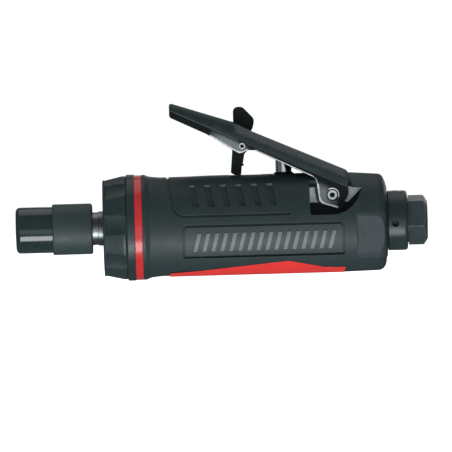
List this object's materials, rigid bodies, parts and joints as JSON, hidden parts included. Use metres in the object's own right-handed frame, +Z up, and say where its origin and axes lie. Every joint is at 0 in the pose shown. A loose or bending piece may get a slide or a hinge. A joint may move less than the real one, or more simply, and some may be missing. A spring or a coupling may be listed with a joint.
{
  "type": "air die grinder",
  "caption": "Straight air die grinder with a collet nut, ringed rubber grip, lever throttle with a lock-off tab, turning exhaust collar and hexagonal air inlet.",
  "frame": {"origin": "on the spindle axis at the mouth of the collet", "axes": "+X along the spindle towards the air inlet, +Z up towards the throttle lever, +Y to the far side"},
  "size_m": [0.1652, 0.0426, 0.0705],
  "materials": {
    "black_steel": "gloss",
    "sleeve_rubber": "matte",
    "bright_steel": "satin",
    "spring_steel": "bright",
    "vane_fibre": "matte",
    "cap_composite": "satin",
    "red_plastic": "satin",
    "grip_rubber": "matte",
    "plate_plastic": "matte",
    "alloy": "cast",
    "iron": "machined",
    "lever_paint": "worn satin",
    "lock_plastic": "matte",
    "brass": "machined",
    "seal_rubber": "matte",
    "inlet_steel": "satin",
    "felt": "matte"
  },
  "bodies": {
    "housing": {"motor_housing": "alloy", "grip_sleeve": "grip_rubber", "grip_insert": "red_plastic", "nameplate_left": "plate_plastic", "nameplate_right": "plate_plastic", "front_cap": "cap_composite", "front_seal": "seal_rubber", "lock_ring": "cap_composite", "red_ring": "red_plastic", "front_end_plate": "alloy", "cylinder": "iron", "cylinder_pin": "bright_steel", "rear_end_plate": "alloy", "front_bearing_outer": "bright_steel", "rear_bearing_outer": "bright_steel", "wave_washer": "spring_steel", "lever_pin": "bright_steel", "valve_bushing": "brass", "stem_seal": "seal_rubber", "valve_seat": "brass", "valve_spring": "spring_steel", "inlet_bushing": "inlet_steel", "inlet_screen": "bright_steel", "inlet_seal": "seal_rubber", "deflector_seal": "seal_rubber", "silencer": "felt"},
    "spindle": {"spindle": "bright_steel", "rotor": "bright_steel", "rotor_spacer": "bright_steel", "rotor_blade_1": "vane_fibre", "rotor_blade_2": "vane_fibre", "rotor_blade_3": "vane_fibre", "rotor_blade_4": "vane_fibre", "rotor_blade_5": "vane_fibre", "front_bearing_inner": "bright_steel", "rear_bearing_inner": "bright_steel"},
    "front_cage": {"front_bearing_balls": "bright_steel", "front_bearing_cage": "brass"},
    "rear_cage": {"rear_bearing_balls": "bright_steel", "rear_bearing_cage": "brass"},
    "collet": {"collet": "bright_steel"},
    "collet_nut": {"collet_nut": "black_steel", "nut_sleeve": "sleeve_rubber"},
    "throttle": {"throttle_lever": "lever_paint", "lock_pin": "bright_steel", "lock_spring": "spring_steel"},
    "lock": {"lock_lever": "lock_plastic"},
    "valve": {"valve_stem": "bright_steel", "valve_poppet": "seal_rubber"},
    "deflector": {"exhaust_deflector": "cap_composite"}
  },
  "joints": [
    {"name": "spindle_spin", "type": "hinge", "parent": "housing", "child": "spindle", "pos_m": [0, 0, 0], "axis": [1, 0, 0], "continuous": true},
    {"name": "front_cage_spin", "type": "hinge", "parent": "housing", "child": "front_cage", "pos_m": [0, 0, 0], "axis": [1, 0, 0], "continuous": true},
    {"name": "rear_cage_spin", "type": "hinge", "parent": "housing", "child": "rear_cage", "pos_m": [0, 0, 0], "axis": [1, 0, 0], "continuous": true},
    {"name": "collet_slide", "type": "slide", "parent": "spindle", "child": "collet", "axis": [-1, 0, 0], "range_m": [0, 0.002]},
    {"name": "nut_turn", "type": "hinge", "parent": "collet", "child": "collet_nut", "pos_m": [0, 0, 0], "axis": [-1, 0, 0], "range_deg": [0, 721]},
    {"name": "throttle_press", "type": "hinge", "parent": "housing", "child": "throttle", "pos_m": [0.1272, 0, 0.0109], "axis": [0, -1, 0], "range_deg": [0, 6], "stiffness_Nm_per_rad": 4, "springref_deg": -5.73},
    {"name": "safety_turn", "type": "hinge", "parent": "throttle", "child": "lock", "pos_m": [0.0916, 0, 0.0314], "axis": [0, -1, 0], "range_deg": [0, 79]},
    {"name": "valve_slide", "type": "slide", "parent": "housing", "child": "valve", "axis": [0, 0, -1], "range_m": [0, 0.0027], "deforming": ["valve_spring"]},
    {"name": "deflector_turn", "type": "hinge", "parent": "housing", "child": "deflector", "pos_m": [0.152, 0, 0], "axis": [1, 0, 0], "continuous": true}
  ],
  "couplings": [
    {"joint": "front_cage_spin", "follows": "spindle_spin", "ratio": 0.39},
    {"joint": "rear_cage_spin", "follows": "spindle_spin", "ratio": 0.38},
    {"joint": "nut_turn", "follows": "collet_slide", "rad_per_m": 6283.2},
    {"joint": "safety_turn", "follows": "throttle_press", "ratio": 13},
    {"joint": "valve_slide", "follows": "throttle_press", "m_per_rad": 0.0248}
  ]
}
